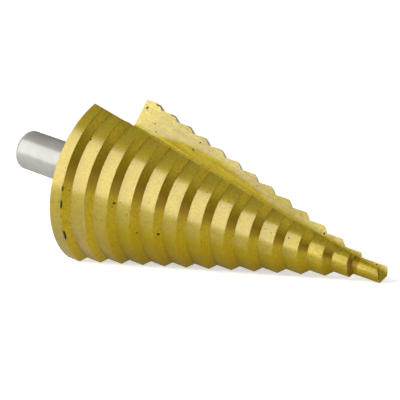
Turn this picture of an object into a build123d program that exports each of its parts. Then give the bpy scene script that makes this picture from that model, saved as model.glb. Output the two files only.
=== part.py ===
from build123d import *
import math
import os

# A two-flute step drill, turned and ground from one bar of high-speed steel.
#
# It is built with its axis along X: X = 0 is the back face of the stepped head, the point is
# towards +X and the shank towards -X.  It is then laid down on the ground, where it rests
# astride its lower flute, on the corners of its steps.  Millimetres and degrees.

# Stepped head
LARGEST_DIAMETER = 42.0         # the land beside the back face
DIAMETER_STEP = 3.0             # each regular land is this much smaller than the one behind it
REGULAR_LANDS = 13              # 42 down to 6
PILOT_DIAMETER = 4.0            # the land of the drill point itself
STEP_LENGTH = 5.3               # from the start of one land to the start of the next
BACK_LAND_LENGTH = 3.6
PILOT_LENGTH = 5.5              # up to the outer corners of the lips
CHAMFER_ANGLE = 45.0            # between the axis and the chamfer that leads up to each land
RELIEF_OFFSET = 0.39            # the chamfers are ground about an axis this far off the drill's

# Drill point
POINT_ANGLE = 135.0             # between the two lips
LIP_RELIEF_ANGLE = 17.0         # fall of the facet behind each lip
HEEL_RELIEF_ANGLE = 40.0        # fall of the facet that thins each heel up to the centre

# Flutes: two tapering V grooves, each between a cutting face and the heel of the other side
LIP_TURN = 30.0                 # from straight down to the lower groove's cutting face
LAND_ARC = 120.0                # from a cutting edge round to the heel, at the lands' corners
FLUTE_ANGLE = 100.0             # between the cutting face and the heel wall
ROOT_RADIUS_BACK = 3.4          # rounding between them at the back face, less towards the point
CUTTER_OVERRUN = 2.0            # how far the grooving cutter runs past both ends

# Shank
SHANK_DIAMETER = 9.5
SHANK_LENGTH = 25.0
SHANK_END_ROUNDING = 1.1

NODE = "step_drill"

CHAMFER_SLOPE = math.tan(math.radians(CHAMFER_ANGLE))
LIP_SLOPE = 1 / math.tan(math.radians(POINT_ANGLE / 2))
AHEAD = Vector(1, 0, 0)


def across_axis(angle):
    """Unit vector square to the axis: 0 is straight down, and it turns towards -Y."""
    turn = math.radians(angle)
    return Vector(0, -math.sin(turn), -math.cos(turn))


def step_lands():
    """Start, front and radius of each land at the cutting edge, from back to point."""
    regular = [LARGEST_DIAMETER - DIAMETER_STEP * i for i in range(REGULAR_LANDS)]
    radii = [diameter / 2 for diameter in regular + [PILOT_DIAMETER]]
    chamfers = [(larger - smaller) / CHAMFER_SLOPE for larger, smaller in zip(radii, radii[1:])]
    lengths = [BACK_LAND_LENGTH] + [STEP_LENGTH - chamfer for chamfer in chamfers[1:]]
    lands = []
    start = 0.0
    for radius, length, chamfer in zip(radii, lengths + [PILOT_LENGTH], chamfers + [0.0]):
        lands.append((start, start + length, radius))
        start += length + chamfer
    return lands


LANDS = step_lands()
TIP_X = LANDS[-1][1] + PILOT_DIAMETER / 2 * LIP_SLOPE


def chamfer_apex(front, radius):
    """Where the chamfer's cone would end: it passes the land's front corner at the lip."""
    corner = across_axis(LIP_TURN) * radius - across_axis(0) * RELIEF_OFFSET
    return front + corner.length / CHAMFER_SLOPE


def chamfer_x(front, radius, angle):
    """Place along the axis where the chamfer leaves the land, at an angle from straight down."""
    corner = across_axis(angle) * radius - across_axis(0) * RELIEF_OFFSET
    return chamfer_apex(front, radius) - corner.length / CHAMFER_SLOPE


def bar(start, end, radius):
    """Round bar along the axis."""
    return Plane(origin=(start, 0, 0), z_dir=AHEAD) * Cylinder(
        radius, end - start, align=(Align.CENTER, Align.CENTER, Align.MIN))


def stepped_half():
    """The near half of the blank: lands about the axis, chamfers about an axis a little lower.

    The offset makes each chamfer fall away behind its cutting edge, as relief grinding does.
    """
    pilot_start, pilot_front, pilot_radius = LANDS[-1]
    blank = bar(pilot_start - STEP_LENGTH, TIP_X, pilot_radius)
    for start, front, radius in LANDS[:-1]:
        apex = chamfer_apex(front, radius)
        behind = max(start - STEP_LENGTH, 0.0)
        length = apex - behind + CUTTER_OVERRUN
        cone_base = Plane(origin=AHEAD * (apex - length) + across_axis(0) * RELIEF_OFFSET,
                          z_dir=AHEAD)
        cone = cone_base * Cone(length * CHAMFER_SLOPE, 0, length,
                                align=(Align.CENTER, Align.CENTER, Align.MIN))
        blank += bar(behind, apex, radius) & cone
    return split(blank, bisect_by=Plane(origin=(0, 0, 0), z_dir=(0, -1, 0)), keep=Keep.TOP)


def flute():
    """The lower groove: a cutting face in a plane through the axis, a heel wall and a root cone.

    All three run out at one point of the axis, a little ahead of the tip: the point where a
    line along the heel's corners meets the axis.
    """
    heel_angle = LIP_TURN - (180 - LAND_ARC)
    back_radius = LARGEST_DIAMETER / 2
    heel_corner = (AHEAD * chamfer_x(BACK_LAND_LENGTH, back_radius, heel_angle + 180)
                   + across_axis(heel_angle) * back_radius)
    run_out = AHEAD * (heel_corner.X + back_radius * STEP_LENGTH / (DIAMETER_STEP / 2))
    off_face = across_axis(LIP_TURN - 90)
    off_heel = (heel_corner - run_out).cross(across_axis(LIP_TURN - FLUTE_ANGLE)).normalized()
    if off_heel.dot(across_axis(0)) < 0:
        off_heel = off_heel * -1
    corner_line = off_face.cross(off_heel).normalized()
    if corner_line.X > 0:
        corner_line = corner_line * -1

    between = (off_face + off_heel).normalized()
    half_sine = between.dot(off_face)
    lean = math.atan(ROOT_RADIUS_BACK / half_sine * -corner_line.X / run_out.X)
    cone_axis = corner_line * math.cos(lean) + between * math.sin(lean)
    cone_half = math.asin(math.sin(lean) * half_sine)
    touches = [cone_axis - normal * cone_axis.dot(normal) for normal in (off_face, off_heel)]
    off_root = touches[0].cross(touches[1])
    if off_root.dot(between) < 0:
        off_root = off_root * -1

    length = TIP_X + 2 * CUTTER_OVERRUN
    space = Pos(TIP_X / 2, 0, 0) * Box(length, 2 * LARGEST_DIAMETER, 2 * LARGEST_DIAMETER)
    for normal in (off_face, off_heel, off_root):
        space = split(space, bisect_by=Plane(origin=run_out, z_dir=normal), keep=Keep.TOP)
    reach = 1.2 * (run_out.X + CUTTER_OVERRUN)
    root = Plane(origin=run_out + cone_axis * reach, z_dir=cone_axis * -1) * Cone(
        reach * math.tan(cone_half), 0, reach, align=(Align.CENTER, Align.CENTER, Align.MIN))
    return space + root


def grind_point(head):
    """Leave two straight lips that meet on the axis, with two relief facets behind each."""
    tip = AHEAD * TIP_X
    lip_fall = math.tan(math.radians(LIP_RELIEF_ANGLE))
    heel_fall = math.tan(math.radians(HEEL_RELIEF_ANGLE))
    for turn in (0, 180):
        lip = across_axis(turn + LIP_TURN)
        behind_lip = across_axis(turn + LIP_TURN + 90)
        lip_facet = AHEAD + lip * LIP_SLOPE + behind_lip * lip_fall
        heel_facet = AHEAD - lip * LIP_SLOPE + behind_lip * heel_fall
        for outward in (lip_facet, heel_facet):
            head = split(head, bisect_by=Plane(origin=tip, z_dir=outward), keep=Keep.BOTTOM)
    return head


def stepped_head():
    """Two equal halves, each with both flutes cut, and the point ground on the whole."""
    groove = flute()
    half = stepped_half() - groove - Rot(X=180) * groove
    return grind_point(half + Rot(X=180) * half)


def shank():
    """Plain round shank, square to the back face of the head, with a rounded end."""
    radius = SHANK_DIAMETER / 2
    end = -SHANK_LENGTH
    end_arc = RadiusArc((end, radius - SHANK_END_ROUNDING), (end + SHANK_END_ROUNDING, radius),
                        SHANK_END_ROUNDING)
    outline = Polyline(end_arc @ 1, (0, radius), (0, 0), (end, 0), end_arc @ 0)
    return revolve(make_face([end_arc, outline]), Axis.X)


def laid_down(drill):
    """Stand the drill on three corners, and centre it over the origin, on the ground.

    It rests on its largest land's corners at the lip and at the other side's heel, and on one
    outer corner of the drill point.
    """
    heel_angle = LIP_TURN - (180 - LAND_ARC)
    back_radius = LARGEST_DIAMETER / 2
    lip_corner = AHEAD * BACK_LAND_LENGTH + across_axis(LIP_TURN) * back_radius
    heel_corner = (AHEAD * chamfer_x(BACK_LAND_LENGTH, back_radius, heel_angle + 180)
                   + across_axis(heel_angle) * back_radius)
    point_corner = AHEAD * LANDS[-1][1] + across_axis(LIP_TURN) * (PILOT_DIAMETER / 2)
    upwards = (heel_corner - lip_corner).cross(point_corner - lip_corner).normalized()
    if upwards.Z < 0:
        upwards = upwards * -1
    along = (AHEAD - upwards * AHEAD.dot(upwards)).normalized()
    ground = Plane(origin=(0, 0, 0), x_dir=along, z_dir=upwards)
    settled = ground.location.inverse() * drill
    box = settled.bounding_box()
    return Pos(-box.center().X, -box.center().Y, -box.min.Z) * settled


step_drill = laid_down(stepped_head() + shank())
step_drill.label = NODE

os.makedirs("parts", exist_ok=True)
export_step(step_drill, f"parts/{NODE}.step")
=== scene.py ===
# %% [markdown]
# # A step drill, dressed
#
# This lesson takes the bare model of a step drill and gives it the surface of a used tool.
# A step drill is one turned cone of steps with two straight grooves, on a plain shank.
# The measured model is loaded first, and the skin made here is fitted to its box.
# Lengths are in metres, and in millimetres inside the coating.

# %% Load the measured model
import math

import bmesh
import bpy
import numpy as np
from mathutils import Euler, Matrix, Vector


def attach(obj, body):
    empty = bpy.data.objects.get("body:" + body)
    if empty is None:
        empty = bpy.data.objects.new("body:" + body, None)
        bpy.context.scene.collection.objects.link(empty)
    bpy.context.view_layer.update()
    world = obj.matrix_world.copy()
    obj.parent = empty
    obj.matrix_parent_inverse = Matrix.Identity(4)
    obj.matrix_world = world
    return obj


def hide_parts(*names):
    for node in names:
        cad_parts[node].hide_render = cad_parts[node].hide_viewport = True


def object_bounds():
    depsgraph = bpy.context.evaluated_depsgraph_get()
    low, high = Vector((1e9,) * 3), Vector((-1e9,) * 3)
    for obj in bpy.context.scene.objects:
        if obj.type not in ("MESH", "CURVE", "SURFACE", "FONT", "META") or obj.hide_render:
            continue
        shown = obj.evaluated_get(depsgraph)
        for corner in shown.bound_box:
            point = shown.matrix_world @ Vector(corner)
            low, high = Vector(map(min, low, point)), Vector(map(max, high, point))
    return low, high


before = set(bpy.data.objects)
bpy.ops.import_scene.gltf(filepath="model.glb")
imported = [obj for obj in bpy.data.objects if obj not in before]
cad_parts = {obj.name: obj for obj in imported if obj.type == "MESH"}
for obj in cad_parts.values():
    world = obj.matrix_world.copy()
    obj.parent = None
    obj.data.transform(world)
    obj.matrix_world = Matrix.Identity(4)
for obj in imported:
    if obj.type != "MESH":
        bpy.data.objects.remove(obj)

cad_low, cad_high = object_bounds()

# %% [markdown]
# ## The camera
#
# A long lens shows a machined part with little perspective, so that its steps stay comparable
# in size. The camera stands about a third of a metre off, a little above the table. Its place
# and turn are given as numbers, so that each view is taken from the same spot.

# %% Place the camera
LENS = 141.53
SENSOR_WIDTH = 36.0
CAMERA_PLACE = (0.198802, -0.291467, 0.060518)
CAMERA_TURNS = (82.575, 0.768, 33.925)
camera_data = bpy.data.cameras.new("camera")
camera_data.lens = LENS
camera_data.sensor_width = SENSOR_WIDTH
camera_data.clip_start = 0.01
camera_data.clip_end = 50.0
camera = bpy.data.objects.new("camera", camera_data)
camera.location = CAMERA_PLACE
camera.rotation_euler = Euler([math.radians(turn) for turn in CAMERA_TURNS])
bpy.context.scene.collection.objects.link(camera)
bpy.context.scene.camera = camera
print("camera distance, metres:", round(camera.location.length, 3))

# %% [markdown]
# ## The turned outline
#
# The body is turned like a chess piece: one outline, carried round the axis. Each step is a
# straight land, then a 45 degree chamfer down to the next land. No real edge is perfectly
# sharp, so each corner gets a tiny arc, which is what catches the light along an edge.
# Distances along the axis start at the back face and grow towards the point. The last and
# thinnest land is called the pilot here.

# %% Sizes of the steps
MM = 0.001
STEP_LENGTH = 5.3 * MM
RADIUS_STEP = 1.5 * MM
BACK_LAND_LENGTH = 3.6 * MM
LARGEST_RADIUS = 21.0 * MM
PILOT_RADIUS = 2.0 * MM
LAND_END = 74.2 * MM
REGULAR_LANDS = 13
regular_radii = LARGEST_RADIUS - RADIUS_STEP * np.arange(REGULAR_LANDS)
radii = np.append(regular_radii, PILOT_RADIUS)
chamfers = radii[:-1] - radii[1:]
# the fronts are evenly spaced; in the measured model the last regular land is 0.5 mm longer
land_fronts = BACK_LAND_LENGTH + STEP_LENGTH * np.arange(REGULAR_LANDS)
land_starts = np.append(0.0, land_fronts + chamfers)
land_fronts = np.append(land_fronts, LAND_END)
print("lands, millimetres across:", [round(2000 * radius, 1) for radius in radii])

# %% Round the corners and space the rows
HALF_CORNER = math.radians(22.5)
EDGE_ROUND = 0.16 * MM
INNER_ROUND = 0.12 * MM
FLAT_MARGIN = 0.14 * MM
FLAT_CELLS = 3


def turned_profile():
    """Rows of (distance along the axis, radius), up to the front edge of the last regular land.

    Each corner turns by 45 degrees and becomes three points of a small arc. The arc starts at
    round * tan(half the turn) before the corner and ends as far after it, and its middle point
    lies round * (1 / cos(half the turn) - 1) inside it. A row just past each arc, and one just
    before the next, keep the flats looking flat.
    """
    corners = np.column_stack([np.ravel(np.column_stack([land_starts, land_fronts])),
                               np.repeat(radii, 2)])[:-1]
    before, here, after = corners[:-2], corners[1:-1], corners[2:]
    length = np.linalg.norm(after - here, axis=1)[:, None]
    ahead = (after - here) / length
    behind = (here - before) / np.linalg.norm(here - before, axis=1)[:, None]
    is_edge = behind[:, 0] * ahead[:, 1] - behind[:, 1] * ahead[:, 0] < 0
    size = np.where(is_edge, EDGE_ROUND, INNER_ROUND)[:, None]
    reach = size * math.tan(HALF_CORNER)
    sag = size * (1 / math.cos(HALF_CORNER) - 1)
    inward = (ahead - behind) / np.linalg.norm(ahead - behind, axis=1)[:, None]
    arc_end = here + ahead * reach
    next_reach = np.append(reach[1:], reach[-1:], axis=0)
    flat = length - reach - next_reach - 2 * FLAT_MARGIN
    flats = [arc_end + ahead * (FLAT_MARGIN + flat * k / FLAT_CELLS)
             for k in range(FLAT_CELLS + 1)]
    grid = np.stack([here - behind * reach, here + inward * sag, arc_end, *flats], axis=1)
    return grid.reshape(-1, 2)[:-len(flats)]


profile_rows = turned_profile()
print("rows from the largest land's front edge on:", len(profile_rows))

# %% Round the back edge and lay rows on the first land
BACK_ROUND = 0.2 * MM
back_turns = np.radians(np.linspace(0, 90, 5))
back_edge = np.column_stack([BACK_ROUND * (1 - np.cos(back_turns)),
                             LARGEST_RADIUS - BACK_ROUND + BACK_ROUND * np.sin(back_turns)])
# the rows lie closer together near the front edge, where the deepest bites are
first_land = np.concatenate([np.linspace(0.4, 2.2, 7), np.linspace(2.35, 3.5, 14)]) * MM
first_rows = np.column_stack([first_land, np.full(len(first_land), LARGEST_RADIUS)])
rows = np.concatenate([back_edge, first_rows, profile_rows])
print("rows along the head:", len(rows))

# %% [markdown]
# ## Relief, the two grooves and the point
#
# A tool cuts only where the metal behind its edge falls away. Each step therefore runs back a
# little along the axis on the way from its cutting edge round to its heel.
#
# Each groove is a tapering V: the cutting face lies in a plane through the axis, and the heel
# wall of the other half lies 98.7 degrees from it, with a small rounded bottom. The groove is
# slightly tighter here than in the measured model, which keeps the heel wall out of sight from
# the side, as on the real tool. All of it tapers to one point of the axis just ahead of the
# tip, so a section of a groove anywhere has the same shape, scaled by the distance left to that
# point. At the front four flat facets meet on the axis, two for each lip.
#
# A groove could be cut with a Boolean, but a grid whose columns follow the walls gives clean
# edges and even faces.

# %% Directions round the axis
LIP_TURN = math.radians(30)
ACROSS_LIP = LIP_TURN + math.pi / 2
FAR_LIP_TURN = LIP_TURN + math.pi
HEEL_TURN = LIP_TURN + math.radians(120)
FLUTE_ANGLE = math.radians(98.7)
WALL_TURN = FAR_LIP_TURN + math.pi / 2 - FLUTE_ANGLE
RELIEF_OFFSET = 0.39 * MM


def facing(turn):
    """Direction square to the axis as (across, up): 0 is straight down, then towards -Y."""
    return np.stack([-np.sin(turn), -np.cos(turn)], axis=-1)


def relief(turn):
    """How far a step lies back at a turn: its chamfer is a cone about an axis that is offset,
    so the shift is the offset times the change of cosine since the cutting edge."""
    return RELIEF_OFFSET * (math.cos(LIP_TURN) - np.cos(turn))


heel_front = BACK_LAND_LENGTH - relief(HEEL_TURN)
RUN_OUT = heel_front + LARGEST_RADIUS * STEP_LENGTH / RADIUS_STEP
wall_slope = LARGEST_RADIUS * math.cos(WALL_TURN - HEEL_TURN) / (RUN_OUT - heel_front)
corner_ratio = wall_slope / math.cos(FAR_LIP_TURN - WALL_TURN)


def heel_edge(along, outside):
    """Turn of the heel edge: where the outside radius meets the heel wall's plane, whose
    distance from the axis is the wall slope times the distance left to the run-out."""
    return WALL_TURN - np.arccos(np.minimum(wall_slope * (RUN_OUT - along) / outside, 1.0))


print("everything tapers to, mm:", round(RUN_OUT / MM, 2))

# %% The rounded bottom of a groove
ROOT_RADIUS_BACK = 0.6 * MM


def groove_bottom():
    """The cone that rounds the bottom, as its axis, its half-angle and the two lines where it
    touches the walls, all seen from the run-out. It is the cone whose axis leans out of the
    V's corner line, half-way between the two walls."""
    off_face = np.array([0.0, *facing(ACROSS_LIP)])
    off_wall = np.array([wall_slope, *facing(WALL_TURN)]) / math.hypot(1, wall_slope)
    corner = np.cross(off_face, off_wall)
    corner *= -np.sign(corner[0]) / np.linalg.norm(corner)
    between = (off_face + off_wall) / np.linalg.norm(off_face + off_wall)
    half_sine = between @ off_face
    lean = math.atan(ROOT_RADIUS_BACK / half_sine * -corner[0] / RUN_OUT)
    axis = corner * math.cos(lean) + between * math.sin(lean)
    touches = [axis - normal * (axis @ normal) for normal in (off_wall, off_face)]
    return axis, math.asin(math.sin(lean) * half_sine), touches


cone_axis, cone_half, touch_lines = groove_bottom()
wall_ratio, face_ratio = [np.linalg.norm(line[1:]) / -line[0] for line in touch_lines]
touch_turn = math.atan2(-touch_lines[0][1], -touch_lines[0][2]) % (2 * math.pi)


def bottom_ratio(turn):
    """Radius of the groove's bottom over the distance to the run-out.

    A ray square to the axis meets the cone where (ray . cone axis) squared equals length
    squared times cos squared of the half-angle. The smaller root is the near side.
    """
    level = facing(turn) @ cone_axis[1:]
    a = level ** 2 - math.cos(cone_half) ** 2
    b = -2 * cone_axis[0] * level
    c = cone_axis[0] ** 2 - math.cos(cone_half) ** 2
    return (-b + np.sqrt(np.maximum(b * b - 4 * a * c, 0))) / (2 * a)


print("bottom cone: half-angle", round(math.degrees(cone_half), 2), "degrees; it leaves the wall at",
      round(math.degrees(touch_turn), 2), "degrees")

# %% The ground point
LIP_SLOPE = math.tan(math.radians(22.5))
LIP_RELIEF = math.tan(math.radians(17))
HEEL_RELIEF = math.tan(math.radians(40))
TIP = LAND_END + PILOT_RADIUS * LIP_SLOPE


def point_height(spot):
    """Distance along the axis to the lowest of the four facet planes that meet at the tip. A
    plane falls from the tip by its slope along the lip and by its relief behind the lip."""
    along_lip = spot @ facing(LIP_TURN)
    behind_lip = spot @ facing(ACROSS_LIP)
    heights = [-side * LIP_SLOPE * along_lip - side * LIP_RELIEF * behind_lip for side in (1, -1)]
    heights += [side * LIP_SLOPE * along_lip - side * HEEL_RELIEF * behind_lip for side in (1, -1)]
    return TIP + np.min(heights, axis=0)


print("the tip is at, mm:", round(TIP / MM, 2))

# %% [markdown]
# ## Lying on the table
#
# Nothing holds the drill up. It rests on three corners: its largest land's corners at the
# cutting edge and at the other side's heel, and one outer corner of the point. The plane
# through the three is the table, which gives the dip of the axis and a very slight roll.

# %% From the drill's own axis to the table
def corner_point(along, outside, turn):
    """A corner as (along, across, up): its radius times its facing, beside its distance."""
    return np.array([along, *(outside * facing(turn))])


lip_corner = corner_point(BACK_LAND_LENGTH, LARGEST_RADIUS, LIP_TURN)
heel_corner = corner_point(heel_front, LARGEST_RADIUS, HEEL_TURN + math.pi)
outer_corner = corner_point(LAND_END, PILOT_RADIUS, LIP_TURN)
upwards = np.cross(heel_corner - lip_corner, outer_corner - lip_corner)
upwards *= np.sign(upwards[2]) / np.linalg.norm(upwards)
forwards = np.array([1.0, 0.0, 0.0]) - upwards * upwards[0]
forwards /= np.linalg.norm(forwards)
table_axes = np.array([forwards, np.cross(upwards, forwards), upwards])
origin = np.array([cad_high[0] - table_axes[0, 0] * TIP, 0.0, -table_axes[2] @ lip_corner])


def on_table(along, spot):
    """Turn (distance along the axis, place across it) into x, y and z."""
    local = np.concatenate([np.broadcast_to(along, spot.shape[:-1])[..., None], spot], axis=-1)
    return local @ table_axes.T + origin


def off_table(points):
    """The reverse: x, y and z into distance along the axis, radius and turn in 0..2 pi."""
    along, across, up = ((points - origin) @ table_axes).T
    return along, np.hypot(across, up), np.arctan2(-across, -up) % (2 * math.pi)


print("dip, degrees:", round(math.degrees(math.asin(-upwards[0])), 3),
      " axis above the table at the back, mm:", round(origin[2] / MM, 3))

# %% [markdown]
# ## One closed skin
#
# The skin is sewn from patches whose edges share the same points: the long sides with both
# grooves, the ground point, the back face and the shank. Each patch is a grid of whole arrays.
# The points that patches share are merged at the end, and a count of open edges shows that the
# skin is closed.

# %% Columns across one half of the section
WALL_CELLS = 14
LAND_CELLS = 60
BOTTOM_CELLS = 16
wall_shares = 1 - (1 - np.linspace(0, 1, WALL_CELLS + 1)) ** 1.5
crease_turn = LIP_TURN + math.atan2(2 * LIP_SLOPE, HEEL_RELIEF - LIP_RELIEF)
land_turns = np.concatenate([np.linspace(LIP_TURN, crease_turn, LAND_CELLS + 1),
                             np.linspace(crease_turn, HEEL_TURN, LAND_CELLS + 1)[1:]])
# columns past this turn swing with the heel edge, and the ones before it stay where they are
FIXED_UP_TO = math.radians(100)
stretch = np.clip((land_turns - FIXED_UP_TO) / (HEEL_TURN - FIXED_UP_TO), 0, 1)
core_turns = land_turns + stretch * (touch_turn - HEEL_TURN)
core_ratios = face_ratio + stretch * (wall_ratio - face_ratio)

bends = np.linspace(0, math.pi - FLUTE_ANGLE, BOTTOM_CELLS + 1)
bottom_size = ROOT_RADIUS_BACK / RUN_OUT
bottom_middle = (facing(FAR_LIP_TURN) * (corner_ratio + bottom_size / math.tan(FLUTE_ANGLE / 2))
                 + facing(ACROSS_LIP) * bottom_size)
bottom_arc = bottom_middle - bottom_size * facing(WALL_TURN - bends)
arc_turns = np.arctan2(-bottom_arc[:, 0], -bottom_arc[:, 1]) % (2 * math.pi)
bottom_turns = np.interp(arc_turns, arc_turns[[0, -1]], [touch_turn, FAR_LIP_TURN])[1:-1]
print("facet crease at", round(math.degrees(crease_turn), 1), "degrees from straight down")

# %% The whole ring of columns
LAND, FACE, HEEL_WALL, BOTTOM, BACK, POINT, SHANK = range(7)


def half_ring(turned):
    """Columns of one half section: up the cutting face to the lip, round the land to the heel,
    down the heel wall and along the groove's bottom.

    A column's seven numbers are the turn and the ratio of its inner place, the turn of its
    outer place, how far that follows the heel edge, the column's share of the way out, the
    kind of the face that starts at it, and the turn of its half.
    """
    outwards, n_land, n_bottom = wall_shares[:-1], len(land_turns), len(bottom_turns)
    blocks = [(LIP_TURN, face_ratio, LIP_TURN, 0.0, outwards),
              (core_turns, core_ratios, land_turns, stretch, np.ones(n_land)),
              (touch_turn, wall_ratio, HEEL_TURN, 1.0, outwards[::-1]),
              (bottom_turns, bottom_ratio(bottom_turns), HEEL_TURN, 1.0, np.zeros(n_bottom))]
    columns = np.concatenate([np.stack(np.broadcast_arrays(*block)) for block in blocks], axis=1)
    columns[[0, 2]] += turned
    kinds = np.repeat([FACE, LAND, HEEL_WALL, BOTTOM],
                      [WALL_CELLS, n_land - 1, WALL_CELLS, n_bottom + 1])
    return np.concatenate([columns, [kinds], np.full((1, len(kinds)), turned)])


ring = np.concatenate([half_ring(0.0), half_ring(math.pi)], axis=1)
print("columns round the section:", ring.shape[1])

# %% Where a column lies
RELIEF_FADE = 3 * MM


def section(along, outside, columns=ring):
    """Place across the axis of each column, and the turn of its outer place in its own half.
    The column goes from its inner place, which scales with the distance left to the run-out,
    towards its outer place on the turned outline."""
    inner_turn, ratio, outer_turn, follow, share, _, turned = columns
    outer_turn = outer_turn + follow * (heel_edge(along, outside) - HEEL_TURN)
    inner = ((RUN_OUT - along) * ratio)[..., None] * facing(inner_turn)
    outer = outside[..., None] * facing(outer_turn)
    return inner + share[..., None] * (outer - inner), outer_turn - turned


def set_back(row_along, outside):
    """Distance along the axis of each column of a row, once the relief is ground. The relief
    fades out towards the groove's bottom and over the first millimetres from the back."""
    share, kind = ring[4:6]
    fade = np.clip(row_along / RELIEF_FADE, 0, 1) * np.where(kind == BOTTOM, 0, share)
    along = row_along
    for _ in range(4):
        _, outer_turn = section(along, outside)
        along = row_along - relief(outer_turn) * fade
    return along


def on_point(columns):
    """Where the columns meet the ground point, by going to and fro between the place at a
    height and the height at a place until they agree."""
    outside = np.full(columns.shape[1:], PILOT_RADIUS)
    along = np.full(columns.shape[1:], LAND_END)
    for _ in range(30):
        spot, _ = section(along, outside, columns)
        along = point_height(spot)
    return along, spot


print("the sides reach the ground point from, mm:", round(on_point(ring)[0].min() / MM, 2))

# %% Patches as grids
FAR = 9.0 * MM
MEASURES = ("profile", "from_heel")
patches = []


def add_patch(along, spot, kind, closed=False, profile=None, from_heel=FAR):
    """Add a grid of points, its faces joining each point to its neighbours along both ways.

    Each point carries two measures for the material: its distance along the axis before
    relief, and how far it lies from the heel edge.
    """
    points = on_table(along, spot)
    n_rows, n_columns = points.shape[:2]
    start = sum(len(patch[0]) for patch in patches)
    number = start + np.arange(n_rows * n_columns).reshape(n_rows, n_columns)
    if closed:
        number = np.concatenate([number, number[:, :1]], axis=1)
    quads = np.stack([number[:-1, :-1], number[:-1, 1:], number[1:, 1:], number[1:, :-1]], axis=-1)
    profile = along if profile is None else profile
    carried = [np.broadcast_to(value, (n_rows, n_columns)).ravel() / MM
               for value in (profile, from_heel)]
    patches.append((points.reshape(-1, 3), quads.reshape(-1, 4),
                    np.broadcast_to(kind, quads.shape[:2]).ravel(), np.stack(carried)))
    print("patch of kind", np.unique(kind), "with", n_rows, "by", n_columns, "points")


# %% The long sides
PILOT_CELLS = 14
WALL_DEPTH = 0.6 * LARGEST_RADIUS
row_along = np.repeat(rows[:, :1], ring.shape[1], axis=1)
row_outside = np.repeat(rows[:, 1:], ring.shape[1], axis=1)
body_along = set_back(row_along, row_outside)
# the pilot's rows share out the way left to the point, and the first of them ends the last
# chamfer, which is steeper than the others
end_along, _ = on_point(ring)
pilot_shares = np.linspace(0, 1, PILOT_CELLS + 1)[1:, None]
pilot_along = body_along[-1] + (end_along - body_along[-1]) * pilot_shares
side_along = np.concatenate([body_along, pilot_along])
side_outside = np.concatenate([row_outside, np.full(pilot_along.shape, PILOT_RADIUS)])
side_spot, side_turn = section(side_along, side_outside)

share, kind = ring[4:6]
round_land = side_outside * (heel_edge(side_along, side_outside) - side_turn)
down_wall = np.where(kind == HEEL_WALL, (1 - share) * WALL_DEPTH, FAR)
side_heel = np.where(share == 1, np.maximum(round_land, 0), down_wall)
add_patch(side_along, side_spot, kind.astype(int), closed=True, from_heel=side_heel,
          profile=np.concatenate([row_along, pilot_along]))

# %% The point and the back face
TIP_CELLS = 5
NECK_CELLS = 12
SHANK_RADIUS = 4.75 * MM
for half in (0.0, math.pi):
    fan = np.stack(np.broadcast_arrays(core_turns[None] + half, core_ratios, land_turns + half,
                                       stretch, wall_shares[:, None], LAND, half))
    add_patch(*on_point(fan), POINT)
    back_along = np.zeros(fan.shape[1:])
    back_spot, _ = section(back_along, back_along + LARGEST_RADIUS - BACK_ROUND, fan)
    add_patch(back_along, back_spot, BACK)

core_turn = np.concatenate([core_turns, bottom_turns, core_turns + math.pi, bottom_turns + math.pi])
core_ratio = np.tile(np.concatenate([core_ratios, bottom_ratio(bottom_turns)]), 2)
core = np.stack(np.broadcast_arrays(core_turn, core_ratio, core_turn, 0, 0, BOTTOM, 0))
_, core_spot = on_point(core)
tip_spots = np.linspace(1, 0, TIP_CELLS + 1)[:, None, None] * core_spot
add_patch(point_height(tip_spots), tip_spots, POINT, closed=True)

core_radius = RUN_OUT * core_ratio
neck_shares = np.linspace(0, 1, NECK_CELLS + 1)[:, None]
neck_radii = core_radius + (SHANK_RADIUS - core_radius) * neck_shares
add_patch(np.zeros(neck_radii.shape), neck_radii[..., None] * facing(core_turn), BACK, closed=True)

# %% The shank
SHANK_LENGTH = 25.0 * MM
SHANK_ROUND = 1.1 * MM
straight_along = -np.array([0, 0.3, 1.5, 6, 12, 18, 22.5]) * MM
end_turns = np.radians(np.linspace(0, 90, 9))
end_shares = np.linspace(0.75, 0, 4)
shank_along = np.concatenate([straight_along,
                              SHANK_ROUND - SHANK_LENGTH - SHANK_ROUND * np.sin(end_turns),
                              np.full(len(end_shares), -SHANK_LENGTH)])
shank_radius = np.concatenate([np.full(len(straight_along), SHANK_RADIUS),
                               SHANK_RADIUS - SHANK_ROUND * (1 - np.cos(end_turns)),
                               (SHANK_RADIUS - SHANK_ROUND) * end_shares])
shank_spots = shank_radius[:, None, None] * facing(core_turn)
add_patch(np.broadcast_to(shank_along[:, None], shank_spots.shape[:2]), shank_spots, SHANK,
          closed=True)
print("patches:", len(patches), " faces:", sum(len(patch[1]) for patch in patches))


# %% Sew the patches into one skin
def sew(name, points, faces, kinds, carried):
    """One mesh from all patches: doubles merged, spent faces dropped, normals turned outwards."""
    mesh = bpy.data.meshes.new(name)
    mesh.from_pydata(points, [], faces.tolist())
    mesh.attributes.new("surface", "INT", "FACE").data.foreach_set("value", kinds.astype(np.int32))
    for label, values in zip(MEASURES, carried):
        mesh.attributes.new(label, "FLOAT", "POINT").data.foreach_set("value", values)
    work = bmesh.new()
    work.from_mesh(mesh)
    bmesh.ops.remove_doubles(work, verts=work.verts, dist=2e-8)
    bmesh.ops.dissolve_degenerate(work, edges=work.edges, dist=1e-9)
    bmesh.ops.recalc_face_normals(work, faces=work.faces)
    if work.calc_volume(signed=True) < 0:
        bmesh.ops.reverse_faces(work, faces=work.faces)
    open_edges = sum(not edge.is_manifold for edge in work.edges)
    print("volume, cubic millimetres:", round(work.calc_volume() * 1e9, 1), " open edges:", open_edges)
    work.to_mesh(mesh)
    work.free()
    return mesh


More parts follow.
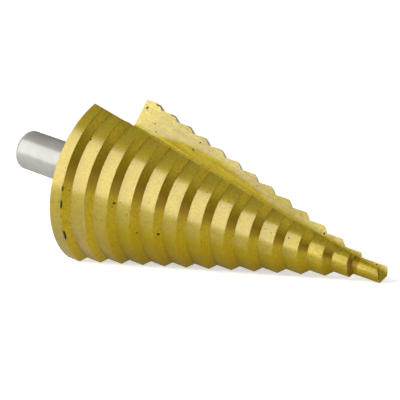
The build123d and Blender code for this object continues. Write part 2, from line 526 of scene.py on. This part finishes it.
all_points, all_faces, all_kinds = (np.concatenate([patch[k] for patch in patches]) for k in range(3))
skin = sew("step_drill_skin", all_points, all_faces, all_kinds,
           np.concatenate([patch[3] for patch in patches], axis=1))
triangles = sum(len(polygon.vertices) - 2 for polygon in skin.polygons)
print("points:", len(skin.vertices), " triangles:", triangles)

# %% [markdown]
# ## Knocks at the edges
#
# A drill that has been used has small bites out of its edges. Each bite is a shallow dent: the
# skin is pressed inwards where it comes close to the bite's centre line, most in the middle and
# not at all at the rim. The far cutting corners of the largest lands are rounded in the same
# way. A numpy array of distances finds the points, so no point is moved by hand.

# %% Press in the bites
def hill(distance, reach):
    """A smooth hill: (1 - t squared) squared, where t is the distance over the reach, and
    nothing beyond it."""
    t = np.clip(np.abs(distance) / reach, 0, 1)
    return (1 - t * t) ** 2


points = np.empty(len(skin.vertices) * 3)
skin.vertices.foreach_get("co", points)
points = points.reshape(-1, 3)
along, radius, turn = off_table(points)
profile = np.empty(len(points))
skin.attributes["profile"].data.foreach_get("value", profile)
profile *= MM

EDGE_DEPTH = 0.9 * MM
# number of the land, turn in degrees, then in millimetres half-length round the edge,
# half-width along the axis and depth
BITES = ((0, 91.0, 1.3, 0.30, 0.10), (0, 81.0, 1.9, 0.30, 0.12), (0, 58.5, 2.1, 0.36, 0.18),
         (0, 73.0, 0.7, 0.20, 0.07), (1, 64.0, 2.2, 0.2, 0.05), (2, 77.0, 0.8, 0.2, 0.05),
         (3, 46.0, 0.7, 0.25, 0.06), (5, 236.0, 0.8, 0.3, 0.08), (0, 262.0, 1.3, 0.4, 0.12),
         (10, 33.0, 0.5, 0.35, 0.08), (4, 318.0, 0.8, 0.3, 0.08))
pressed = np.zeros(len(points))
for land, where, half_length, half_width, depth in BITES:
    around = (turn - math.radians(where)) * radii[land]
    dent = hill(around, half_length * MM) * hill(profile - land_fronts[land], half_width * MM)
    pressed += np.where(radius > radii[land] - EDGE_DEPTH, dent * depth * MM, 0)
print("points in the bites:", int((pressed > 0).sum()))

# %% Wear down the far corners
FULLY_WORN = 0.10 * MM
BACK_SHARE = 0.6
# number of the land, then in millimetres the reach of the wear and its depth
CORNER_WEAR = ((0, 1.0, 0.22), (1, 0.7, 0.12), (2, 0.6, 0.1), (3, 0.45, 0.07))
for land, reach, depth in CORNER_WEAR:
    around = (turn - FAR_LIP_TURN) * radii[land]
    gap = np.sqrt(around ** 2 + (profile - land_fronts[land]) ** 2 + (radius - radii[land]) ** 2)
    pressed += depth * MM * hill(gap, reach * MM)
# a pressed point goes inwards by its depth, and back along the axis by a share of it
spots = (radius - pressed)[:, None] * facing(turn)
points = np.where(pressed[:, None] > 0, on_table(along - BACK_SHARE * pressed, spots), points)
skin.vertices.foreach_set("co", points.ravel())
worn = skin.attributes.new("worn", "FLOAT", "POINT")
worn.data.foreach_set("value", np.clip(pressed / FULLY_WORN, 0, 1))
skin.update()
print("points pressed in:", int((pressed > 0).sum()), " deepest, mm:", round(pressed.max() / MM, 2))

# %% [markdown]
# ## Smooth where turned, sharp where ground
#
# Smooth shading blends the light across the facets of a round surface. Wherever two faces meet
# at more than 30 degrees the edge is a real one, so it is marked sharp.

# %% The piece in the scene
skin.shade_smooth()
skin.set_sharp_from_angle(angle=math.radians(30))
drill = bpy.data.objects.new("step_drill_skin", skin)
bpy.context.scene.collection.objects.link(drill)
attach(drill, "root")
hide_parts("step_drill")
print("sharp edges:", sum(edge.use_edge_sharp for edge in skin.edges))

# %% [markdown]
# ## Writing a material as sums
#
# A material is a graph of nodes. Wrapping each output in a small class lets the graph be
# written like ordinary arithmetic, so `1 - mask` becomes a Math node. Colours are blended with
# Mix nodes, because a Math node would turn them grey.

# %% A value in a material
def find_socket(sockets, key):
    """A socket by its place in the list, or by its name or identifier."""
    if isinstance(key, int):
        return sockets[key]
    return next(socket for socket in sockets if key in (socket.identifier, socket.name))


class Value:
    """An output of a node. Arithmetic on it adds Math nodes to the same material."""

    def __init__(self, socket):
        self.socket = socket
        self.tree = socket.id_data

    def output(self, key):
        """Another output of the same node."""
        return Value(find_socket(self.socket.node.outputs, key))

    def math(self, operation, *others):
        """A Math node on this value and the others."""
        return add_node(self.tree, "ShaderNodeMath", {"operation": operation},
                        dict(enumerate((self, *others))))

    def __add__(self, other):
        return self.math("ADD", other)

    def __sub__(self, other):
        return self.math("SUBTRACT", other)

    def __rsub__(self, other):
        return add_node(self.tree, "ShaderNodeMath", {"operation": "SUBTRACT"}, {0: other, 1: self})

    def __mul__(self, other):
        return self.math("MULTIPLY", other)

    def __truediv__(self, other):
        return self.math("DIVIDE", other)

    def __pow__(self, other):
        return self.math("POWER", other)

    def __mod__(self, other):
        return self.math("FLOORED_MODULO", other)

    __radd__ = __add__
    __rmul__ = __mul__

    def high(self, other):
        """The larger of two values."""
        return self.math("MAXIMUM", other)

    def size(self):
        """The value without its sign."""
        return self.math("ABSOLUTE")

    def ramp(self, start, end):
        """0 at start, 1 at end and a smooth S between. Where start is the larger number, the
        mask is 1 below end and 0 above start."""
        ends = (start, end, 0.0, 1.0) if start < end else (end, start, 1.0, 0.0)
        names = ("From Min", "From Max", "To Min", "To Max")
        return add_node(self.tree, "ShaderNodeMapRange", {"interpolation_type": "SMOOTHSTEP"},
                        {"Value": self, **dict(zip(names, ends))})


print("sums and masks:", [name for name in vars(Value) if not name.startswith("_")])


# %% Adding a node
def add_node(tree, kind, settings, inputs):
    """Add one node: its settings first, then a value or a link for each input by place or name.
    What comes back is its first output, or nothing for a node without one."""
    node = tree.nodes.new(kind)
    for name, value in settings.items():
        setattr(node, name, value)
    for key, value in inputs.items():
        socket = find_socket(node.inputs, key)
        if isinstance(value, Value):
            tree.links.new(value.socket, socket)
        else:
            socket.default_value = value
    return Value(node.outputs[0]) if node.outputs else None


def blend(mask, first, second):
    """Colour that goes from the first to the second as the mask goes from 0 to 1."""
    colours = {"A_Color": first, "B_Color": second}
    colours = {key: colour if isinstance(colour, Value) else (*colour, 1.0)
               for key, colour in colours.items()}
    mix = add_node(mask.tree, "ShaderNodeMix", {"data_type": "RGBA"}, {"Factor_Float": mask, **colours})
    return mix.output("Result_Color")


def paint(colour, layers):
    """Lay colours over each other in turn, each where its mask is 1."""
    for mask, over in layers:
        colour = blend(mask, colour, over)
    return colour


def new_material(name):
    """A material with an empty graph, and the graph."""
    material = bpy.data.materials.new(name)
    material.use_nodes = True
    material.node_tree.nodes.clear()
    return material, material.node_tree


gold, tree = new_material("coated_steel")
print("material:", gold.name, " nodes:", len(tree.nodes))

# %% [markdown]
# ## Gold-coloured coating on steel
#
# The head wears a thin hard ceramic coat, which looks like brushed gold. It has two kinds of
# shine: a broad yellow one from the ground metal under the coat, and a smaller, whiter one from
# the coat's own surface. The shank is left bare.
#
# The colours could be painted by hand on an unwrapped skin. Here they are sums on the distance
# along the axis, the radius and the turn, which need no unwrapping and stay sharp at any size.
# All three come from the Object coordinates. In the sums below, w, radial, outline and
# from_heel are millimetres, and turned and to_lip are radians.

# %% Where a point of the drill is
place = add_node(tree, "ShaderNodeTexCoord", {}, {}).output("Object")
local = add_node(tree, "ShaderNodeMapping", {"vector_type": "TEXTURE"},
                 {"Vector": place, "Location": tuple(origin),
                  "Rotation": tuple(Matrix(table_axes.tolist()).to_euler())})
local = add_node(tree, "ShaderNodeVectorMath", {"operation": "SCALE"},
                 {"Vector": local, "Scale": 1 / MM})
w = add_node(tree, "ShaderNodeSeparateXYZ", {}, {"Vector": local})
across, up = w.output("Y"), w.output("Z")
radial = (across * across + up * up) ** 0.5
turned = (across * -1.0).math("ARCTAN2", up * -1.0) % (2 * math.pi)
to_lip = turned % math.pi
arc_length = turned * radial
print("nodes so far:", len(tree.nodes))


# %% Which part of the drill it is on
def carried(name):
    """A measure that the skin carries at its points or faces."""
    return add_node(tree, "ShaderNodeAttribute", {"attribute_name": name}, {}).output("Fac")


surface, outline, from_heel, bitten = map(carried, ("surface", "profile", "from_heel", "worn"))


def on_kinds(first, last):
    """1 on faces whose kind is between two of the numbers, both of them counted, else 0."""
    return surface.ramp(first - 0.6, first - 0.4) * surface.ramp(last + 0.6, last + 0.4)


back_land, step = BACK_LAND_LENGTH / MM, STEP_LENGTH / MM
half_step = step / 2
ground = on_kinds(FACE, BOTTOM)
turned_part = 1 - ground
on_point_face = on_kinds(POINT, POINT)
bare = w.ramp(0.06, 0.0) * radial.ramp(5.0, 4.85)
past_front = outline - back_land
chamfer = (past_front % step).ramp(1.56, 1.48) * past_front.ramp(-0.05, 0.0) * turned_part
chamfer = chamfer * outline.ramp(71.0, 70.0)
print("nodes so far:", len(tree.nodes))


# %% Grain of the metal
def noise(vector, scale, detail, roughness):
    """Soft noise, 0 to 1, along a vector in millimetres."""
    return add_node(tree, "ShaderNodeTexNoise", {"noise_dimensions": "3D"},
                    {"Vector": vector, "Scale": scale, "Detail": detail, "Roughness": roughness})


def stretched(x, y, z):
    """A vector from three values, each stretched by its own number."""
    return add_node(tree, "ShaderNodeCombineXYZ", {}, {"X": x, "Y": y, "Z": z})


# the turned parts carry fine rings, and the ground faces streaks that run towards the point
STREAKS_MEET = 78.0
rings = noise(stretched(w * 9.0, arc_length * 0.12, radial * 9.0), 1.0, 3.0, 0.6)
streaks = noise(stretched(w * 0.12, radial / (STREAKS_MEET - w) * 140.0, turned), 1.0, 3.0, 0.6)
grain = rings * turned_part + streaks * ground
mottle = noise(local, 1.3, 4.0, 0.65)
cloud = noise(local, 0.28, 2.0, 0.5)
fine = noise(local, 2.2, 3.0, 0.7)
print("nodes so far:", len(tree.nodes))


# %% Pits in the coat
def pit(ahead, aside, size):
    """A dark dot: 1 where two distances on the surface are near 0, and 0 beyond its size."""
    return ((ahead ** 2.0 + aside ** 2.0) ** 0.5).ramp(size, size * 0.45)


def strongest(masks):
    """The largest of several masks."""
    most, *others = masks
    for mask in others:
        most = most.high(mask)
    return most


# distance along the axis, turn in degrees, radius of the land there, size
LAND_PITS = ((4.4, 90.5, 20.2, 0.17), (4.7, 127.0, 19.9, 0.32), (12.7, 75.5, 18.0, 0.22),
             (14.9, 90.0, 17.3, 0.30), (20.4, 69.0, 15.6, 0.2), (25.5, 72.0, 14.3, 0.34),
             (53.3, 113.5, 6.0, 0.2), (64.0, 145.0, 3.0, 0.2), (2.7, 82.5, 21.0, 0.2),
             (11.1, 74.0, 18.0, 0.15), (11.5, 82.0, 18.0, 0.12), (14.7, 87.0, 17.5, 0.16),
             (18.5, 84.5, 16.5, 0.18), (18.2, 83.0, 16.5, 0.14), (16.2, 92.0, 16.5, 0.14),
             (17.3, 90.0, 16.5, 0.12), (9.0, 116.0, 19.3, 0.14), (22.4, 81.0, 15.0, 0.12))
# distance along the axis, radius, size
FACE_PITS = ((1.1, 19.1, 0.42), (5.1, 16.0, 0.22), (6.4, 14.2, 0.24), (18.7, 15.0, 0.26),
             (17.8, 12.9, 0.26), (37.2, 9.6, 0.2), (57.5, 4.3, 0.3), (71.8, 1.6, 0.2))
land_pits = strongest([pit(w - at, (turned - math.radians(degrees)) * land, size)
                       for at, degrees, land, size in LAND_PITS])
face_pits = strongest([pit(w - at, radial - out, size) for at, out, size in FACE_PITS])
cell = add_node(tree, "ShaderNodeTexVoronoi", {}, {"Vector": local, "Scale": 0.62})
lucky = add_node(tree, "ShaderNodeSeparateColor", {}, {"Color": cell.output("Color")})
small_pits = cell.ramp(0.11, 0.05) * lucky.ramp(0.50, 0.62)
pits = land_pits * turned_part + face_pits * ground
pits = pits.high(small_pits * 0.75) * (1 - bare)
print("pits placed one by one:", len(LAND_PITS) + len(FACE_PITS))

# %% Wear, and a painted highlight, along the edges
# a pale scratch runs round the front edge of the second land, and short ticks mark where the
# front edges meet the heel edge
SCRATCH_AT = 8.93
past_edge = (past_front + half_step) % step - half_step
edge_noise = noise(stretched(w * 1.5, arc_length * 0.45, radial), 1.0, 3.0, 0.6)
edge_wear = past_edge.size().ramp(0.13, 0.04) * edge_noise.ramp(0.58, 0.72) * 0.6
scratch = (outline - SCRATCH_AT).size().ramp(0.18, 0.06) * edge_noise.ramp(0.36, 0.60)
scratch = scratch * turned.ramp(0.98, 1.08) * turned.ramp(1.52, 1.40) * 0.5
ticks = (past_edge + 0.16).size().ramp(0.24, 0.08) * from_heel.ramp(1.4, 0.7)
ticks = ticks * w.ramp(17.0, 18.0) * w.ramp(31.0, 30.0) * 0.45
edge_wear = strongest([edge_wear, scratch, ticks]) * turned_part
# painted highlight: a thin pale line along the heel edge, where the edge catches the light
heel_highlight = from_heel.ramp(0.24, 0.08) * w.ramp(10.0, 20.0) * w.ramp(60.0, 50.0)
# bites are dirty, with bare metal on the back side of those near the cutting edge, and they are
# only smeared at the far corners and on the ground faces
bite = bitten.ramp(0.30, 0.75)
at_corner = (turned - FAR_LIP_TURN).size().ramp(0.12, 0.06).high(ground)
fresh = past_edge.ramp(-0.02, -0.10) * turned.ramp(1.12, 1.06)
print("nodes so far:", len(tree.nodes))

# %% [markdown]
# ## Colour by region
#
# The coat isn't one gold. The chamfers are redder than the lands, the cutting faces paler, and
# a yellow band runs along the bottom of each groove. On the real tool part of that is what the
# metal mirrors, and part may be wear. Mirrored light would need the whole room to be built, so
# the differences are painted here, region over region, as painted reflections, painted
# highlights and painted shade.

# %% Lands, chamfers and cutting faces
LAND_GOLD = (0.37, 0.288, 0.012)
CHAMFER_GOLD = (0.42, 0.298, 0.008)
FACE_GOLD = (0.46, 0.37, 0.035)
# painted light: the yellow of the painted reflection along each groove's root, and of the painted
# highlight on the slim lands
PAINTED_LIGHT_YELLOW = (0.50, 0.385, 0.014)
DARK_GOLD = (0.26, 0.175, 0.008)
DULL_FACE = (0.34, 0.25, 0.02)
above_root = radial - (RUN_OUT / MM - w) * corner_ratio
# the yellow band at the root is a painted reflection of the groove's rounded bottom; it is
# widest 24 mm from the back, and narrows over 19.5 mm each way
band_width = ((1 - ((w - 24.0) / 19.5) ** 2.0) * 3.0).high(0.5)
root_reflection_band = (above_root - band_width + (streaks - 0.5) * 2.4).ramp(0.6, -0.45) * ground
# painted shade: from 9 mm on, the lands are darkened towards their low side, near the lip, and lose
# their coat there
low_side_shade = w.ramp(9.0, 17.0) * turned_part
dull_streaks = w.ramp(6.0, 13.0) * ground * (streaks.ramp(0.35, 0.65) * 0.5 + 0.1)
# layers: chamfers, cutting faces, the painted reflection at the root, the painted shade on the lands'
# low side, duller streaks on the faces
colour = paint(LAND_GOLD, ((chamfer, CHAMFER_GOLD), (ground, FACE_GOLD), (root_reflection_band, PAINTED_LIGHT_YELLOW),
                           (to_lip.ramp(1.55, 0.55) * low_side_shade * 0.9, DARK_GOLD),
                           (dull_streaks, DULL_FACE)))
print("nodes so far:", len(tree.nodes))

# %% Towards the point
SHADE_BROWN = (0.19, 0.085, 0.004)
PALE_REFLECTION_GOLD = (0.68, 0.57, 0.12)
GROOVE_LIGHT_GOLD = (0.80, 0.62, 0.03)
POINT_GOLD = (0.36, 0.27, 0.010)
WEAR_AND_REFLECTION_BEIGE = (0.32, 0.25, 0.065)
to_point = w.ramp(60.0, 66.5) * turned_part
# painted shade: the chamfers are darkened brown over the arc of the turn that the panel light misses,
# and all round on the last chamfers before the point
shade_arc = to_lip.ramp(1.60, 1.75) * to_lip.ramp(2.05, 1.88)
# painted reflection: the cutting faces are paler towards the point
face_reflection = w.ramp(44.0, 58.0) * ground * (1 - root_reflection_band)
# painted light: the groove's bottom and the heel wall's edge are given a bright yellow over the shade
# that falls there
groove_painted_light = on_kinds(BOTTOM, BOTTOM).high(on_kinds(HEEL_WALL, HEEL_WALL) * from_heel.ramp(0.5, 0.3))
# painted highlight: the slim lands near the point are brighter yellow over their upper part, with more
# metal and less coat
slim_land = w.ramp(50.0, 60.0) * turned_part * (1 - chamfer)
# partly wear, partly a painted reflection of the pale table: the first lands are paler and beiger on
# their low side
low_side_beige = turned.ramp(1.35, 0.95) * w.ramp(16.0, 3.0) * (1 - chamfer) * turned_part
colour = paint(colour, ((chamfer * shade_arc.high(to_point) * 0.65, SHADE_BROWN),
                        (face_reflection * 0.9, PALE_REFLECTION_GOLD), (groove_painted_light, GROOVE_LIGHT_GOLD),
                        (slim_land * to_lip.ramp(1.2, 1.5) * 0.5, PAINTED_LIGHT_YELLOW),
                        (on_point_face, POINT_GOLD), (low_side_beige * 0.6, WEAR_AND_REFLECTION_BEIGE)))
print("nodes so far:", len(tree.nodes))

# %% Grain, worn edges, dirt and a painted highlight over the gold
WORN_EDGE = (0.47, 0.39, 0.31)
EDGE_HIGHLIGHT_GOLD = (0.64, 0.53, 0.12)
DIRT = (0.022, 0.018, 0.008)
SMEAR = (0.15, 0.12, 0.045)
# the rim of the point is darker over one part of its turn and paler over another
point_edge = on_point_face * radial.ramp(1.70, 1.84)
rim_dark_part = turned.ramp(0.95, 1.15) * turned.ramp(2.7, 2.5)
rim_pale_part = turned.ramp(0.55, 0.62) * turned.ramp(1.10, 0.98)
colour = paint(colour, ((cloud.ramp(0.45, 0.70) * 0.28, DARK_GOLD),
                        (mottle.ramp(0.42, 0.72) * 0.46, DARK_GOLD),
                        (grain.ramp(0.40, 0.75) * (ground * 0.15 + 0.30), DARK_GOLD),
                        (fine.ramp(0.42, 0.68) * (1 - ground * 0.5) * 0.75, DARK_GOLD),
                        (heel_highlight * 0.85, EDGE_HIGHLIGHT_GOLD), (edge_wear, WORN_EDGE),
                        (bite * fresh * 0.8, WORN_EDGE),
                        (bite * (1 - fresh) * (1 - at_corner) * 0.95, DIRT),
                        (bite * at_corner * 0.75, SMEAR),
                        (point_edge * rim_dark_part * 0.65, DIRT),
                        (point_edge * rim_pale_part * 0.8, WORN_EDGE)))
print("nodes so far:", len(tree.nodes))

# %% The bare shank, and dirt in the pits
STEEL = (0.345, 0.335, 0.31)
DARK_STEEL = (0.20, 0.19, 0.175)
steel_grain = grain.ramp(0.3, 0.8) * 0.15 + cloud.ramp(0.4, 0.7) * 0.25
colour = paint(colour, ((bare, STEEL), (bare * steel_grain, DARK_STEEL), (pits * 0.9, DIRT)))
print("nodes so far:", len(tree.nodes))

# %% [markdown]
# ## Shine by region
#
# One shader carries it all. Its Metallic value gives the broad yellow shine, and its coat a
# clearer second one on top. Dirt and wear take the coat away, and so does the painted shade on
# the low side of the lands. The grain also seems to raise the surface by up to two hundredths of
# a millimetre, through a Bump node, and a pit seems to sink it by a tenth.

# %% Roughness, metal and coat
COAT_WEIGHT = 0.16
gold_roughness = 0.30 + chamfer * 0.03 + ground * 0.04 + (grain - 0.5) * 0.14 + bitten * 0.3
steel_roughness = 0.38 + (grain - 0.5) * 0.1
roughness = gold_roughness * (1 - bare) + steel_roughness * bare
spoiled = pits.high(bitten.ramp(0.35, 0.9)) * 0.7
# the last chamfers before the point also lose their metal shine, as painted shade
metal = (1 - spoiled) * (chamfer * (1 - to_point) * 0.55 + slim_land * 0.14 + 0.22)
coat = (1 - pits) * COAT_WEIGHT
# less coat where bitten, on chamfers, along the painted reflection at the root, on faces near the
# point, on the point, on slim lands, and as painted shade on the lands' low side
for less_coat in (bitten * 0.8, chamfer * 0.8, root_reflection_band * 0.9, w.ramp(30.0, 45.0) * ground * 0.45,
                  on_point_face * 0.8, slim_land * 0.35, to_lip.ramp(1.50, 1.15) * low_side_shade * 0.92):
    coat = coat * (1 - less_coat)
height = grain * 0.012 + mottle * 0.008 + fine * 0.003 - pits * 0.10
bump = add_node(tree, "ShaderNodeBump", {}, {"Strength": 1.0, "Distance": MM, "Height": height})
shader = add_node(tree, "ShaderNodeBsdfPrincipled", {},
                  {"Base Color": colour, "Roughness": roughness, "Metallic": metal,
                   "Coat Weight": coat, "Coat IOR": 3.0, "Coat Roughness": 0.2,
                   "Specular IOR Level": 0.0, "Normal": bump})
add_node(tree, "ShaderNodeOutputMaterial", {}, {"Surface": shader})
skin.materials.append(gold)
print("nodes in the coating:", len(tree.nodes))

# %% [markdown]
# ## The table
#
# The drill lies on a plain pale table without an edge in sight: far behind the drill its rim
# curls up, so that no horizon shows. The table takes the drill's shadow. To the camera, and in
# every reflection, its colour is lifted to white, less so near the drill, where the panels
# light it most.

# %% Floor with a raised rim far away
SPOKES = 96
RIM_RADII = np.array([4.0, 4.5, 4.8])[:, None]
RIM_HEIGHTS = np.array([0.0, 0.1, 0.5])[:, None]
BEHIND_DRILL = math.radians(124)
spokes = np.linspace(0, 2 * math.pi, SPOKES, endpoint=False)
raised = np.clip(2 * np.cos(spokes - BEHIND_DRILL), 0, 1)
rim_points = np.stack([RIM_RADII * np.cos(spokes), RIM_RADII * np.sin(spokes), RIM_HEIGHTS * raised],
                      axis=-1)
floor_points = np.concatenate([[[0.0, 0.0, 0.0]], rim_points.reshape(-1, 3)])
index = 1 + np.arange(len(RIM_RADII) * SPOKES).reshape(-1, SPOKES)
index = np.concatenate([index, index[:, :1]], axis=1)
middle_faces = np.stack([np.zeros(SPOKES, int), index[0, :-1], index[0, 1:]], axis=-1)
rim_faces = np.stack([index[:-1, :-1], index[1:, :-1], index[1:, 1:], index[:-1, 1:]], axis=-1)
floor_mesh = bpy.data.meshes.new("floor")
floor_mesh.from_pydata(floor_points, [], middle_faces.tolist() + rim_faces.reshape(-1, 4).tolist())
floor = bpy.data.objects.new("floor", floor_mesh)
bpy.context.scene.collection.objects.link(floor)
print("floor faces:", len(floor_mesh.polygons))

# %% Its matt white, lifted for the camera and in reflections
FLOOR_WHITE = (0.80, 0.80, 0.80, 1.0)
BLACK = (0.0, 0.0, 0.0)
LIFT_NEAR = (0.60, 0.60, 0.60)
LIFT_FAR = (1.0, 1.0, 1.0)
pale, pale_tree = new_material("pale_table")
ray = add_node(pale_tree, "ShaderNodeLightPath", {}, {})
seen = strongest([ray.output(kind) for kind in ("Is Camera Ray", "Is Glossy Ray",
                                                "Is Transmission Ray")])
spot = add_node(pale_tree, "ShaderNodeTexCoord", {}, {}).output("Object")
away = add_node(pale_tree, "ShaderNodeVectorMath", {"operation": "LENGTH"},
                {"Vector": spot}).output("Value")
lifted = blend(away.ramp(0.08, 1.3), LIFT_NEAR, LIFT_FAR)
matt = add_node(pale_tree, "ShaderNodeBsdfDiffuse", {}, {"Color": FLOOR_WHITE})
glow = add_node(pale_tree, "ShaderNodeEmission", {}, {"Color": blend(seen, BLACK, lifted)})
both = add_node(pale_tree, "ShaderNodeAddShader", {}, {0: matt, 1: glow})
add_node(pale_tree, "ShaderNodeOutputMaterial", {}, {"Surface": both})
floor_mesh.materials.append(pale)
print("nodes in the table:", len(pale_tree.nodes))

# %% [markdown]
# ## Light
#
# Polished metal shows its surroundings, so the lights are chosen for what the metal mirrors.
# One tall soft panel stands to the left of the camera and gives each land its broad pale band.
# A wide faint one beyond the point brightens the faces that look that way. The room above and
# around is plain and dim, which leaves the rest of the metal darker.

# %% Panels and room
ROOM_TINT = (1.0, 0.97, 0.92, 1.0)
ROOM_BRIGHTNESS = 0.28


def panel(name, azimuth, distance, width, height, lowest, brightness):
    """A soft rectangular light, standing upright and facing the drill. Its power is its
    brightness times its area times pi."""
    data = bpy.data.lights.new(name, "AREA")
    data.shape = "RECTANGLE"
    data.size, data.size_y = width, height
    data.energy = brightness * width * height * math.pi
    light = bpy.data.objects.new(name, data)
    turn = math.radians(azimuth)
    light.location = (math.sin(turn) * distance, -math.cos(turn) * distance, lowest + height / 2)
    light.rotation_euler = Euler((math.radians(90), 0, turn))
    light.visible_camera = False
    bpy.context.scene.collection.objects.link(light)
    print(name, "watts:", round(data.energy, 2))


# name, azimuth in degrees, distance, width, height, height of its lower edge, brightness
PANELS = (("tall_panel", -40.0, 0.36, 0.34, 0.52, 0.0, 5.0),
          ("fill_panel", 100.0, 0.8, 0.8, 0.6, 0.22, 0.95))
for row in PANELS:
    panel(*row)
world = bpy.data.worlds.new("room")
bpy.context.scene.world = world
world.use_nodes = True
room = world.node_tree.nodes["Background"]
room.inputs["Color"].default_value = ROOM_TINT
room.inputs["Strength"].default_value = ROOM_BRIGHTNESS
bpy.context.scene.view_settings.view_transform = "Standard"

# %% [markdown]
# ## Sizes, and the end
#
# The dressed drill is made to stay inside the measured model's box.
